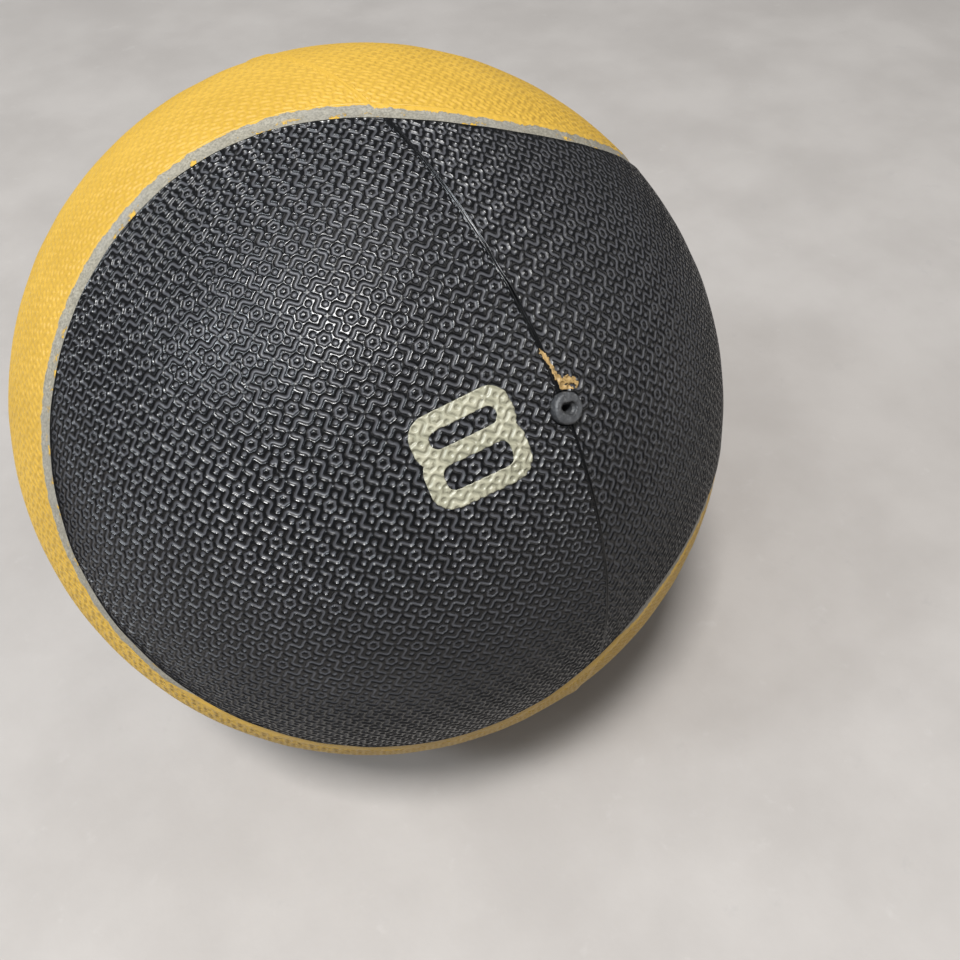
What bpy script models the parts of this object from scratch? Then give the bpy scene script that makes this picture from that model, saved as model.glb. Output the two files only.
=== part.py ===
"""A rubber medicine ball: two interlocking cover panels and a channel stripe over a wound, loaded wall.

Every piece is modelled about the ball's own axes and hangs on one empty, which tilts them all:
  local Z  runs from the ball's centre out through the valve
  local X  is the moulding axis, so the parting line lies in the plane X = 0
The ball's centre is the world origin, and the moulding axis stays level.
"""

import math

import bmesh
import bpy
from mathutils import Vector

MM = 0.001
WELD = 0.00001
SHARP_ANGLE = math.radians(40)

# Pose
VALVE_TILT = math.radians(52.5)

# Radii of the layers, outside to inside, and the gap between neighbours, in millimetres
COVER_OUTER, COVER_INNER = 115.0, 111.0
STRIPE_OUTER = 114.5
WINDING_OUTER, WINDING_INNER = 110.0, 108.8
WALL_OUTER, WALL_INNER = 108.4, 95.0
BLADDER_OUTER, BLADDER_INNER = 94.4, 92.8
GAP = 0.3

# The line between the two colours: waves on a great circle, alike at both ends of the moulding axis
LINE_WAVE_3, LINE_WAVE_5 = 0.54, -0.13
LINE_RISE_2, LINE_RISE_6 = 1.75, -0.24
LINE_POINTS = 104
STRIPE_WIDTH = 5.5
PANEL_COLUMNS = 12

# Turned pieces
TURN_STEPS = 32
ARC_STEPS = 16

# Valve: distances out from the ball's centre, and radii about the valve's axis
PLUG_RADIUS, PLUG_TOP, PLUG_FOOT = 4.0, 117.0, 96.5
PLUG_EDGE, PLUG_NOSE = 0.4, 1.5
NEEDLE_RADIUS, NEEDLE_DEPTH = 1.2, 17.0
MOUTH_RADIUS, MOUTH_DEPTH = 1.9, 1.1
HOUSING_RADIUS, HOUSING_TOP = 7.0, 109.8
FLANGE_RADIUS, FLANGE_THICKNESS, FLANGE_STEPS = 13.0, 1.8, 4
POCKET_TOP = 97.4
BLADDER_MOUTH = PLUG_RADIUS + 0.7
COVER_MOUTH = PLUG_RADIUS + 0.4

# The numeral, laid flat: U runs away from the parting line, and V along it
NUMERAL_U, NUMERAL_V = (12.6, 39.0), (-10.7, 13.9)
BAR_V = (0.3, 4.8)
STROKE = 4.5
OUTER_CORNER, HOLE_CORNER, CORNER_STEPS = 6.0, 2.0, 6
NUMERAL_INNER = COVER_OUTER + GAP
NUMERAL_OUTER = NUMERAL_INNER + 0.3
SLICE = 3.0

COLOURS = {
    "cover_black": (0.022, 0.023, 0.026, 1.0),
    "cover_yellow": (0.72, 0.42, 0.07, 1.0),
    "stripe_grey": (0.33, 0.33, 0.28, 1.0),
    "winding_cord": (0.78, 0.75, 0.66, 1.0),
    "wall_rubber": (0.05, 0.05, 0.05, 1.0),
    "bladder_butyl": (0.012, 0.012, 0.012, 1.0),
    "housing_rubber": (0.03, 0.03, 0.03, 1.0),
    "plug_rubber": (0.055, 0.058, 0.065, 1.0),
    "numeral_print": (0.62, 0.62, 0.5, 1.0),
}


class Ball:
    """The collections that hold the pieces and their cutters, and the empty that poses them."""

    def __init__(self):
        self.parts = new_collection("medicine_ball")
        self.cutters = new_collection("cutters")
        self.pose = bpy.data.objects.new("ball_pose", None)
        self.pose.rotation_euler = (VALVE_TILT, 0, 0)
        self.parts.objects.link(self.pose)

    def add_piece(self, name, mesh, slot):
        piece = bpy.data.objects.new(name, mesh)
        piece.parent = self.pose
        self.parts.objects.link(piece)
        mesh.materials.append(material(slot))
        return piece

    def cut(self, piece, name, bm):
        """Takes the shape in bm away from the piece."""
        cutter = bpy.data.objects.new(name, mesh_from(name, bm))
        cutter.parent = self.pose
        cutter.hide_render = True
        cutter.display_type = "WIRE"
        self.cutters.objects.link(cutter)
        boolean = piece.modifiers.new("cut", "BOOLEAN")
        boolean.operation = "DIFFERENCE"
        boolean.solver = "EXACT"
        boolean.object = cutter


def clear_scene():
    for obj in list(bpy.data.objects):
        bpy.data.objects.remove(obj)


def new_collection(name):
    collection = bpy.data.collections.new(name)
    bpy.context.scene.collection.children.link(collection)
    return collection


def material(name):
    if name in bpy.data.materials:
        return bpy.data.materials[name]
    made = bpy.data.materials.new(name)
    made.use_nodes = True
    shader = made.node_tree.nodes["Principled BSDF"]
    shader.inputs["Base Color"].default_value = COLOURS[name]
    shader.inputs["Roughness"].default_value = 0.6
    return made


def mesh_from(name, bm):
    mesh = bpy.data.meshes.new(name)
    bmesh.ops.recalc_face_normals(bm, faces=bm.faces)
    bm.to_mesh(mesh)
    bm.free()
    return mesh


# ---------------------------------------------------------------- turned pieces


def arc(radius, first, last, steps=ARC_STEPS):
    """Points on a circle about the ball's centre, by their angle from the valve's axis."""
    angles = [first + (last - first) * step / steps for step in range(steps + 1)]
    return [(radius * math.sin(angle), radius * math.cos(angle)) for angle in angles]


def turned(ball, name, profile, slot):
    """A profile of (radius, height) turned about the valve's axis. It ends by running down its outside."""
    bm = bmesh.new()
    points = [bm.verts.new((radius * MM, 0, height * MM)) for radius, height in profile]
    for start, end in zip(points, points[1:]):
        bm.edges.new((start, end))
    mesh = bpy.data.meshes.new(name)
    bm.to_mesh(mesh)
    bm.free()
    piece = ball.add_piece(name, mesh, slot)
    screw = piece.modifiers.new("turn", "SCREW")
    screw.steps = TURN_STEPS
    screw.render_steps = TURN_STEPS
    screw.use_merge_vertices = True
    screw.merge_threshold = WELD
    screw.use_smooth_shade = True
    return piece


def inside_arc(radius, mouth):
    """Up the inside of a layer, from its lowest point to its mouth at the valve."""
    return [(0, -radius)] + arc(radius, math.pi, math.asin(mouth / radius))[1:]


def outside_arc(radius, mouth):
    """Down the outside of a layer, from its mouth at the valve to its lowest point."""
    return arc(radius, math.asin(mouth / radius), math.pi)[:-1] + [(0, -radius)]


def add_bladder(ball):
    profile = inside_arc(BLADDER_INNER, BLADDER_MOUTH) + outside_arc(BLADDER_OUTER, BLADDER_MOUTH)
    turned(ball, "bladder", profile, "bladder_butyl")


def add_winding(ball):
    mouth = HOUSING_RADIUS + GAP
    profile = inside_arc(WINDING_INNER, mouth) + outside_arc(WINDING_OUTER, mouth)
    turned(ball, "winding_layer", profile, "winding_cord")


def add_wall_halves(ball):
    """Two half shells that meet at the parting line, with a pocket for the housing's flange."""
    mouth, pocket = HOUSING_RADIUS + GAP, FLANGE_RADIUS + GAP
    step = [(pocket, POCKET_TOP), (mouth, POCKET_TOP)]
    profile = inside_arc(WALL_INNER, pocket) + step + outside_arc(WALL_OUTER, mouth)
    size = 3 * COVER_OUTER * MM
    for name, side in (("wall_half_left", -1), ("wall_half_right", 1)):
        half = turned(ball, name, profile, "wall_rubber")
        other_side = bmesh.new()
        bmesh.ops.create_cube(other_side, size=size)
        shift = -side * (size - GAP * MM) / 2
        bmesh.ops.translate(other_side, verts=other_side.verts, vec=(shift, 0, 0))
        ball.cut(half, name + "_cutter", other_side)


def add_housing(ball):
    """The tube that grips the valve core, with the flange that bonds it to the bladder."""
    bore = PLUG_RADIUS + GAP
    under = BLADDER_OUTER + 1.5 * GAP
    over = under + FLANGE_THICKNESS
    rim, rim_over = math.asin(FLANGE_RADIUS / under), math.asin(FLANGE_RADIUS / over)
    underside = arc(under, rim, math.asin(bore / under), FLANGE_STEPS)
    tube = [(bore, HOUSING_TOP), (HOUSING_RADIUS, HOUSING_TOP)]
    topside = arc(over, math.asin(HOUSING_RADIUS / over), rim_over, FLANGE_STEPS)
    turned(ball, "valve_housing", underside + tube + topside + underside[:1], "housing_rubber")


def add_plug(ball):
    """The valve core: a push-in plug with a blind needle bore. Its origin is on the axis it slides along."""
    profile = [
        (0, PLUG_TOP - NEEDLE_DEPTH),
        (NEEDLE_RADIUS, PLUG_TOP - NEEDLE_DEPTH),
        (NEEDLE_RADIUS, PLUG_TOP - MOUTH_DEPTH),
        (MOUTH_RADIUS, PLUG_TOP),
        (PLUG_RADIUS - PLUG_EDGE, PLUG_TOP),
        (PLUG_RADIUS, PLUG_TOP - PLUG_EDGE),
        (PLUG_RADIUS, PLUG_FOOT + PLUG_NOSE),
        (PLUG_RADIUS - PLUG_NOSE, PLUG_FOOT),
        (0, PLUG_FOOT),
    ]
    turned(ball, "valve_core", profile, "plug_rubber")


# ---------------------------------------------------------------- cover and stripe


def line_point(turn):
    """A unit vector on the line between the colours."""
    east = math.cos(turn) + LINE_WAVE_3 * math.cos(3 * turn) + LINE_WAVE_5 * math.cos(5 * turn)
    north = math.sin(turn) - LINE_WAVE_3 * math.sin(3 * turn) + LINE_WAVE_5 * math.sin(5 * turn)
    rise = LINE_RISE_2 * math.sin(2 * turn) + LINE_RISE_6 * math.sin(6 * turn)
    eighth_turn = math.sqrt(0.5)
    return Vector((-rise, eighth_turn * (north - east), eighth_turn * (north + east))).normalized()


def beside_line(turn, distance):
    """The point this many millimetres to the black side of the line, along the surface."""
    step = 0.001
    here = line_point(turn)
    along = (line_point(turn + step) - line_point(turn - step)).normalized()
    across = along.cross(here)
    angle = distance / COVER_OUTER
    return here * math.cos(angle) + across * math.sin(angle)


def line_turn(index):
    """Point 0 is the tip of one black lobe, and half way round is the tip of the other."""
    return math.radians(45) - 2 * math.pi * index / LINE_POINTS


def thickened(name, skin, outer, inner):
    """An open skin at the outer radius, extruded down to the inner one, so that its rim is radial."""
    grown = bmesh.ops.extrude_face_region(skin, geom=list(skin.faces))
    for item in grown["geom"]:
        if isinstance(item, bmesh.types.BMVert):
            item.co *= inner / outer
    mesh = mesh_from(name, skin)
    mesh.shade_smooth()
    mesh.set_sharp_from_angle(angle=SHARP_ANGLE)
    return mesh


def skin_of(rows, outer):
    """Faces between neighbouring rows of unit vectors, at the outer radius."""
    skin = bmesh.new()
    made = [[skin.verts.new(point * outer * MM) for point in row] for row in rows]
    for first, second in zip(made, made[1:]):
        for column in range(len(first) - 1):
            corners = (first[column], first[column + 1], second[column + 1], second[column])
            skin.faces.new(corners)
    bmesh.ops.remove_doubles(skin, verts=skin.verts, dist=WELD)
    return skin


def panel_rows():
    """Rows across the black panel, from the tip of one lobe to the tip of the other."""
    inset = STRIPE_WIDTH / 2 + GAP / 2
    rows = []
    for index in range(LINE_POINTS // 2 + 1):
        left = beside_line(line_turn(index), inset)
        right = beside_line(line_turn(-index), inset)
        if 0 < index < LINE_POINTS // 2:
            rows.append([left.slerp(right, column / PANEL_COLUMNS) for column in range(PANEL_COLUMNS + 1)])
        else:
            rows.append([left] * (PANEL_COLUMNS + 1))
    return rows


def add_black_cover(ball):
    skin = skin_of(panel_rows(), COVER_OUTER)
    mesh = thickened("cover_black", skin, COVER_OUTER, COVER_INNER)
    cover = ball.add_piece("cover_black", mesh, "cover_black")
    drill = bmesh.new()
    radius, depth = COVER_MOUTH * MM, 2 * (COVER_OUTER - COVER_INNER) * MM
    bmesh.ops.create_cone(
        drill, cap_ends=True, segments=TURN_STEPS, radius1=radius, radius2=radius, depth=depth
    )
    bmesh.ops.translate(drill, verts=drill.verts, vec=(0, 0, (COVER_OUTER + COVER_INNER) / 2 * MM))
    ball.cut(cover, "mouth_drill", drill)


def add_yellow_cover(ball):
    """The same panel, turned half a turn about the line midway between Y and Z."""
    rows = [[Vector((-point.x, point.z, point.y)) for point in row] for row in panel_rows()]
    skin = skin_of(rows, COVER_OUTER)
    mesh = thickened("cover_yellow", skin, COVER_OUTER, COVER_INNER)
    ball.add_piece("cover_yellow", mesh, "cover_yellow")


def add_stripe(ball):
    half = STRIPE_WIDTH / 2 - GAP / 2
    rows = []
    for index in range(LINE_POINTS + 1):
        turn = line_turn(index)
        rows.append([beside_line(turn, half), line_point(turn), beside_line(turn, -half)])
    mesh = thickened("channel_stripe", skin_of(rows, STRIPE_OUTER), STRIPE_OUTER, COVER_INNER)
    ball.add_piece("channel_stripe", mesh, "stripe_grey")


# ---------------------------------------------------------------- numeral


def box_corners(low_u, high_u, low_v, high_v, radius):
    """Four quarter circles, anticlockwise from the upper right."""
    centres = (
        (high_u - radius, high_v - radius),
        (low_u + radius, high_v - radius),
        (low_u + radius, low_v + radius),
        (high_u - radius, low_v + radius),
    )
    corners = []
    for quarter, (u, v) in enumerate(centres):
        angles = [math.pi / 2 * (quarter + step / CORNER_STEPS) for step in range(CORNER_STEPS + 1)]
        corners.append([(u + radius * math.cos(a), v + radius * math.sin(a)) for a in angles])
    return corners


def joined(corners):
    return [point for corner in corners for point in corner]


def numeral_outlines():
    """An eight of two wide loops: its outline, with a notch at each end of the bar, and its two holes."""
    low_u, high_u = NUMERAL_U
    low_v, high_v = NUMERAL_V
    low_bar, high_bar = BAR_V
    middle = (low_bar + high_bar) / 2
    over_notch = OUTER_CORNER - (middle - low_bar)
    notch = OUTER_CORNER - math.sqrt(OUTER_CORNER**2 - over_notch**2)
    upper = box_corners(low_u, high_u, low_bar, high_v, OUTER_CORNER)
    lower = box_corners(low_u, high_u, low_v, high_bar, OUTER_CORNER)
    over_bar = [point for point in joined(upper[3:] + upper[:3]) if point[1] > middle]
    under_bar = [point for point in joined(lower[1:] + lower[:1]) if point[1] < middle]
    outline = over_bar + [(low_u + notch, middle)] + under_bar + [(high_u - notch, middle)]
    hole_u = (low_u + STROKE, high_u - STROKE)
    upper_hole = joined(box_corners(*hole_u, high_bar, high_v - STROKE, HOLE_CORNER))
    lower_hole = joined(box_corners(*hole_u, low_v + STROKE, low_bar, HOLE_CORNER))
    return [outline, upper_hole, lower_hole]


def add_numeral(ball):
    """The flat numeral is sliced both ways, wrapped round the ball and thickened."""
    skin = bmesh.new()
    for outline in numeral_outlines():
        points = [skin.verts.new((u, v, 0)) for u, v in outline]
        for start, end in zip(points, points[1:] + points[:1]):
            skin.edges.new((start, end))
    bmesh.ops.triangle_fill(skin, use_beauty=True, edges=skin.edges, normal=(0, 0, 1))
    for axis, (low, high) in enumerate((NUMERAL_U, NUMERAL_V)):
        normal = Vector((axis == 0, axis == 1, 0))
        for cut in range(1, math.ceil((high - low) / SLICE)):
            geometry = list(skin.verts) + list(skin.edges) + list(skin.faces)
            place = normal * (low + cut * SLICE)
            bmesh.ops.bisect_plane(skin, geom=geometry, dist=WELD, plane_co=place, plane_no=normal)
    for vert in skin.verts:
        away, along = vert.co.x / COVER_OUTER, vert.co.y / COVER_OUTER
        spot = (-math.sin(away), math.cos(away) * math.sin(along), math.cos(away) * math.cos(along))
        vert.co = Vector(spot) * NUMERAL_OUTER * MM
    mesh = thickened("numeral_eight", skin, NUMERAL_OUTER, NUMERAL_INNER)
    ball.add_piece("numeral_eight", mesh, "numeral_print")


def main():
    clear_scene()
    ball = Ball()
    add_bladder(ball)
    add_housing(ball)
    add_wall_halves(ball)
    add_winding(ball)
    add_black_cover(ball)
    add_yellow_cover(ball)
    add_stripe(ball)
    add_numeral(ball)
    add_plug(ball)


main()
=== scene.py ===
"""The looks of a two-colour moulded rubber medicine ball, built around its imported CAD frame."""

from math import ceil, pi, radians, sqrt, tau

import bpy
import numpy as np
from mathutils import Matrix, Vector


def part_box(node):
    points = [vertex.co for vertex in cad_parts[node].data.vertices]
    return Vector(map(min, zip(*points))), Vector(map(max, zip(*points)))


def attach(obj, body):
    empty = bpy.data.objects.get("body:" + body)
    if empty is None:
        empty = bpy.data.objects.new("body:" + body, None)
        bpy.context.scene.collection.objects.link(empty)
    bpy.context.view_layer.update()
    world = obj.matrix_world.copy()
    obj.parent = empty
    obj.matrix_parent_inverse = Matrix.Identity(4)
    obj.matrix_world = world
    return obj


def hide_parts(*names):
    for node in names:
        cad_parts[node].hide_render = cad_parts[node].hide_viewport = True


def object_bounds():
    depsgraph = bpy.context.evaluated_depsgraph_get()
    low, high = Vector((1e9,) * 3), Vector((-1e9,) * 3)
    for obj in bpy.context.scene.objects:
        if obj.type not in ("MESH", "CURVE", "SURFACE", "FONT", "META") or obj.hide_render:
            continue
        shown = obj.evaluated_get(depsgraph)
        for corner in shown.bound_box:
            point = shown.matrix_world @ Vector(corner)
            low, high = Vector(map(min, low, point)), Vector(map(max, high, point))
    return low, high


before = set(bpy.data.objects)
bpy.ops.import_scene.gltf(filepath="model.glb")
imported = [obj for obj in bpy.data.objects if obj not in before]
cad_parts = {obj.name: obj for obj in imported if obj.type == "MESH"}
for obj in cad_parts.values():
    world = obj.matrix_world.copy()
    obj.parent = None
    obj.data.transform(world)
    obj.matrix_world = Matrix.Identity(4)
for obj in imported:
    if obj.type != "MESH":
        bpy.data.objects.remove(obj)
cad_low, cad_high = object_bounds()

# Places that come from the frame. The ball's own axes are the moulding axis, the way along the
# seam from the valve, and the way out through the valve. Its lengths are in millimetres.
MM = 0.001
RADIUS = (cad_high.x - cad_low.x) / 2 / MM
CENTRE = (cad_low + cad_high) / 2
plug_low, plug_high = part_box("valve_core")
MOULD_AXIS = np.array((1.0, 0.0, 0.0))
VALVE_AXIS = np.array(((plug_low + plug_high) / 2 - CENTRE).normalized())
SEAM_AXIS = np.cross(VALVE_AXIS, MOULD_AXIS)
BALL_AXES = np.stack([MOULD_AXIS, SEAM_AXIS, VALVE_AXIS])
plug_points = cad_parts["valve_core"].data.vertices
plug_reaches = [(point.co - CENTRE).dot(Vector(VALVE_AXIS)) / MM for point in plug_points]
PLUG_FOOT, PLUG_TOP = min(plug_reaches), max(plug_reaches)

# The line between the colours, a baseball curve, and the panels on either side of it.
WAVE_3, WAVE_5 = 0.54, -0.13
RISE_2, RISE_6 = 1.75, -0.24
PANEL_INSET = 2.9
STRIPE_HALF = 3.1
STRIPE_DROP = 0.45
STRIPE_STEP = 0.5
STRIPE_BANDS = 24
SKIRT_LIP, SKIRT_DEPTH = 0.5, 3.6
TIP_HALF_WIDTH = 1.5

# The moulded relief, whose grooves repeat in a rosette cell.
CELL = 7.7
CELL_LONG, CELL_SHORT = 7.85, 7.28
WAIST_LONG, WAIST_SHORT = 7.65, 8.1
CELL_TURN = radians(-13.5)
BLACK_RELIEF, YELLOW_RELIEF = 0.56, 0.33
BLACK_RIM, YELLOW_RIM = 0.16, 0.0
BLACK_SEED, YELLOW_SEED = 11, 21
RING_RADIUS, RING_LOBE, RING_LOBES = 1.2, 0.12, 6
RING_HALF, RING_SOFT = 0.62, 0.42
PIT_REACH, PIT_RADIUS, PIT_SOFT, PIT_TURN = 2.76, 0.87, 0.42, radians(61.6)
CHANNEL_SWINGS = (0.73, 0.46, 0.13)
CHANNEL_HALF, CHANNEL_SOFT = 0.64, 0.42
PATCH_RADIUS, PATCH_SOFT, PATCH_RISE = 1.0, 0.6, 0.6
# The engraved sheet of a lobe is laid round this point and has a dart from it to the edge.
SHEET_TURN, SHEET_HEIGHT = radians(-34.5), radians(5)
SHEET_DART = radians(15)
ROSETTE_START = (2.2, 5.25)

# The seam, where the two halves of the mould met.
SEAM_LIP_REACH, SEAM_LIP_HALF, SEAM_LIP = 0.45, 0.32, 0.42
SEAM_THINS, SEAM_CLEAR = (0.03, 0.06), (0.55, 0.95)
SEAM_GAP, SEAM_GROOVE = 0.06, 0.35

# The valve and the numeral.
MOUTH_RADIUS = 4.4
PLUG_RADIUS, PLUG_EDGE = 4.0, 0.45
NEEDLE_RADIUS, NEEDLE_DEPTH = 1.2, 17.0
RECESS_RADIUS, RECESS_DEPTH = 1.9, 1.1
NUMERAL_U, NUMERAL_V = (12.6, 39.0), (-10.7, 13.9)
NUMERAL_BAR = (0.3, 4.8)
NUMERAL_STROKE, NUMERAL_CORNER, HOLE_CORNER = 4.5, 5.6, 2.2
FILM_LIFT, FILM_THICKNESS, FILM_FILL = 0.07, 0.12, 0.12
# The grids that the two films are cut from: the range each way and the step.
NUMERAL_GRID = ((11.5, 40.1), (-11.8, 15.0), 0.24)
SMEAR_GRID = ((-7.5, 1.5), (1.0, 17.0), 0.16)

# Grid steps of the moulded skins.
BLACK_STEPS = {"lobe": 0.26, "waist": 0.38, "rear": 0.38}
YELLOW_STEPS = {"lobe": 0.42, "waist": 0.42, "rear": 0.42}
FINE_STEP, TIP_STEP = 0.1, 0.03

# Where yellow takes the lower stripe over, as heights in metres. CAMERA_WAY is the horizontal way from
# the ball to the photograph's camera, and limits the full takeover to the side that faces it.
TAKEOVER_HEIGHTS = (-0.008, -0.013)
CAMERA_WAY = (-0.49, -0.87)

# The period in metres of Blender's wave texture at a scale of 1.
WAVE_PERIOD = 0.314

# The stage, in metres. A light is (name, place, size, power, colour).
FLOOR_SIZE, FLOOR_GAP = 30, 0.0002
WORLD_COLOUR, WORLD_STRENGTH = (0.93, 0.96, 1.0, 1), 0.2
LIGHTS = (
    ("key", (-0.78, -0.54, 2.55), 0.5, 120, (1.0, 0.99, 0.98)),
    ("side", (-1.99, 0.37, 1.8), 0.37, 30, (0.86, 0.93, 1.0)),
    ("band", (-1.95, -0.15, 3.0), 1.87, 62, (0.84, 0.92, 1.0)),
    ("ceiling", (-0.09, 0.26, 3.74), 1.7, 9, (1.0, 0.98, 0.95)),
    ("room", (-0.5, -0.85, 3.9), 4.0, 12, (1.0, 0.97, 0.93)),
    ("fill", (1.53, -1.7, 1.53), 1.7, 16, (1.0, 0.97, 0.93)),
)
CAMERA_PLACE, CAMERA_TARGET = (-0.1176, -0.2115, 0.2310), (0.0238, -0.0261, -0.0300)


# ------------------------------------------------------------------ arithmetic on many points


def smooth(value, low, high):
    """0 below low, 1 above high, and a smooth rise between them."""
    share = np.clip((value - low) / (high - low), 0, 1)
    return share * share * (3 - 2 * share)


def waves(points, size, seed):
    """Smooth random values about 0 at points in mm, with features of about this size."""
    random = np.random.default_rng(seed)
    total = np.zeros(points.shape[:-1])
    count = 8
    for _ in range(count):
        direction = random.normal(size=3)
        direction /= np.linalg.norm(direction)
        length = size * random.uniform(0.7, 1.5)
        total += np.sin(points @ direction * tau / length + random.uniform(0, tau))
    return total / sqrt(count)


def line_points(turn):
    """Unit vectors on the line between the colours, in the ball's own axes."""
    east = np.cos(turn) + WAVE_3 * np.cos(3 * turn) + WAVE_5 * np.cos(5 * turn)
    north = np.sin(turn) - WAVE_3 * np.sin(3 * turn) + WAVE_5 * np.sin(5 * turn)
    rise = RISE_2 * np.sin(2 * turn) + RISE_6 * np.sin(6 * turn)
    points = np.stack([-rise, sqrt(0.5) * (north - east), sqrt(0.5) * (north + east)], -1)
    return points / np.linalg.norm(points, axis=-1, keepdims=True)


def beside_line(turn, distance):
    """Unit vectors at a distance in mm from the line, on the black side where it is positive."""
    here = line_points(turn)
    along = line_points(turn + 0.001) - line_points(turn - 0.001)
    along /= np.linalg.norm(along, axis=-1, keepdims=True)
    across = np.cross(along, here)
    angle = np.asarray(distance)[..., None] / RADIUS
    return here * np.cos(angle) + across * np.sin(angle)


def to_yellow(points):
    """The turn that carries the black panel onto the yellow one."""
    return np.stack([-points[..., 0], points[..., 2], points[..., 1]], -1)


# ------------------------------------------------------------------ a panel and its flat maps


def panel_outline():
    """The panel's edge as the angle round the ball's seam axis, rising, and the half width there."""
    edge = beside_line(pi / 4 - np.linspace(0, pi, 6001), PANEL_INSET)
    turn = np.unwrap(np.arctan2(edge[:, 0], edge[:, 2]))
    return turn, np.abs(np.arcsin(edge[:, 1]))


OUTLINE_TURN, OUTLINE_WIDTH = panel_outline()
OUTLINE_SLOPE = np.gradient(OUTLINE_WIDTH, OUTLINE_TURN)


def half_width(turn):
    return np.interp(turn, OUTLINE_TURN, OUTLINE_WIDTH)


def panel_angles(direction):
    """(turn from the valve round the seam axis, from -90 to 270 degrees, and height along that axis)."""
    turn = np.arctan2(direction[..., 0], direction[..., 2])
    return np.mod(turn + pi / 2, tau) - pi / 2, np.arcsin(np.clip(direction[..., 1], -1, 1))


def direction_of(turn, height):
    return np.stack([np.sin(turn) * np.cos(height), np.sin(height), np.cos(turn) * np.cos(height)], -1)


def edge_distance(turn, height):
    """Distance in mm from the panel's edge, true near the edge."""
    width = half_width(turn)
    slope = np.interp(turn, OUTLINE_TURN, OUTLINE_SLOPE)
    across = np.hypot(width * slope / np.cos(height), height)
    return RADIUS * (width**2 - height**2) / (2 * np.maximum(across, 1e-4))


def sheet_map(direction):
    """Flat coordinates in mm of the engraved sheet laid on a lobe, which keeps lengths true."""
    out = direction_of(SHEET_TURN, SHEET_HEIGHT)
    ahead = direction_of(SHEET_TURN + pi / 2, 0.0)
    up = np.cross(out, ahead)
    angle = np.arccos(np.clip(direction @ out, -1, 1))
    way = np.arctan2(-(direction @ ahead), -(direction @ up))
    way *= 1 - SHEET_DART / tau
    return RADIUS * angle * np.sin(way), -RADIUS * angle * np.cos(way)


def flat_map(direction):
    """Flat coordinates in mm that carry a panel's relief: (back along the middle line, up).
    The map of a lobe starts afresh at the seam, as the engraving of the mould does."""
    turn, height = panel_angles(direction)
    rear = turn > pi
    lobe_back, lobe_up = sheet_map(direction * np.where(rear[..., None], (1, -1, -1), 1))
    waist_back = -RADIUS * (turn - pi / 2) * CELL_LONG / WAIST_LONG
    waist_up = RADIUS * height * CELL_SHORT / WAIST_SHORT
    lobe = rear | (turn < 0)
    return np.where(lobe, lobe_back, waist_back), np.where(lobe, lobe_up, waist_up)


def turned(u, v, angle):
    return u * np.cos(angle) + v * np.sin(angle), v * np.cos(angle) - u * np.sin(angle)


def wrapped(value, period):
    return value - period * np.round(value / period)


def ridge(distance, half, soft):
    """Height from 0 to 1 of a rounded ridge at a distance from its middle."""
    return smooth(half - np.abs(distance), 0, soft)


def rosettes(u, v):
    """A cover's grooves from 0 to 1: rings with four pits round each, and wavy channels between,
    shallower where they cross."""
    b, a = turned(u, v, CELL_TURN)
    b = (b - ROSETTE_START[0]) * CELL / CELL_LONG
    a = (a - ROSETTE_START[1]) * CELL / CELL_SHORT
    cell_b, cell_a = wrapped(b, CELL), wrapped(a, CELL)
    ring_radius = RING_RADIUS + RING_LOBE * np.cos(RING_LOBES * np.arctan2(cell_a, cell_b))
    groove = ridge(np.hypot(cell_a, cell_b) - ring_radius, RING_HALF, RING_SOFT)
    for quarter in range(4):
        way = PIT_TURN + quarter * pi / 2
        distance = np.hypot(cell_b - PIT_REACH * np.cos(way), cell_a - PIT_REACH * np.sin(way))
        groove = np.maximum(groove, smooth(PIT_RADIUS - distance, 0, PIT_SOFT))
    for along, across, side in ((cell_b, a, 1), (cell_a, b, -1)):
        phase = tau * along / CELL
        swing = sum(size * np.sin((n + 1) * phase) for n, size in enumerate(CHANNEL_SWINGS))
        slope = sum(size * (n + 1) * np.cos((n + 1) * phase) for n, size in enumerate(CHANNEL_SWINGS))
        distance = wrapped(across - CELL / 2 - side * swing, CELL) / np.hypot(1, slope * tau / CELL)
        groove = np.maximum(groove, ridge(distance, CHANNEL_HALF, CHANNEL_SOFT))
    corner = np.hypot(np.abs(cell_a) - CELL / 2, np.abs(cell_b) - CELL / 2)
    return groove * (1 - PATCH_RISE * smooth(PATCH_RADIUS - corner, 0, PATCH_SOFT))


def seam_lips(direction):
    """(height of the two thin lips of flash beside the seam, how far the relief has come in)."""
    off = RADIUS * np.arcsin(np.clip(direction[..., 0], -1, 1))
    points = direction * RADIUS
    strength = 0.75 + 0.35 * waves(points, 46, 3) + 0.25 * waves(points, 9, 4)
    below = smooth(-direction[..., 1], *SEAM_THINS)
    strength = np.clip(strength, 0.1, 1.4) * (1 - 0.5 * below)
    distance = np.abs(off) - SEAM_LIP_REACH * (1 - 0.5 * below) - 0.1 * waves(points, 21, 5)
    lips = SEAM_LIP * strength * ridge(distance, SEAM_LIP_HALF, SEAM_LIP_HALF)
    return lips, smooth(np.abs(off) + 0.25 * below, *SEAM_CLEAR)


def skin_height(direction, depth, rim_height, wear_seed):
    """(height in mm over the ball's radius, relief from 0 in the grooves to 1 on the lands)."""
    turn, height = panel_angles(direction)
    points = direction * RADIUS
    lips, away = seam_lips(direction)
    edge = edge_distance(turn, height)
    groove = rosettes(*flat_map(direction)) * away * smooth(edge, 0.35, 0.95)
    relief = 1 - groove
    worn = 0.9 + 0.1 * waves(points, 34, wear_seed)
    rim = rim_height * ridge(edge - 0.32, 0.3, 0.3) * (0.8 + 0.4 * waves(points, 17, wear_seed + 1))
    rise = depth * (0.4 - groove * worn) + np.maximum(lips, rim)
    return rise + 0.05 * waves(points, 12, wear_seed + 2), relief


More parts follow.
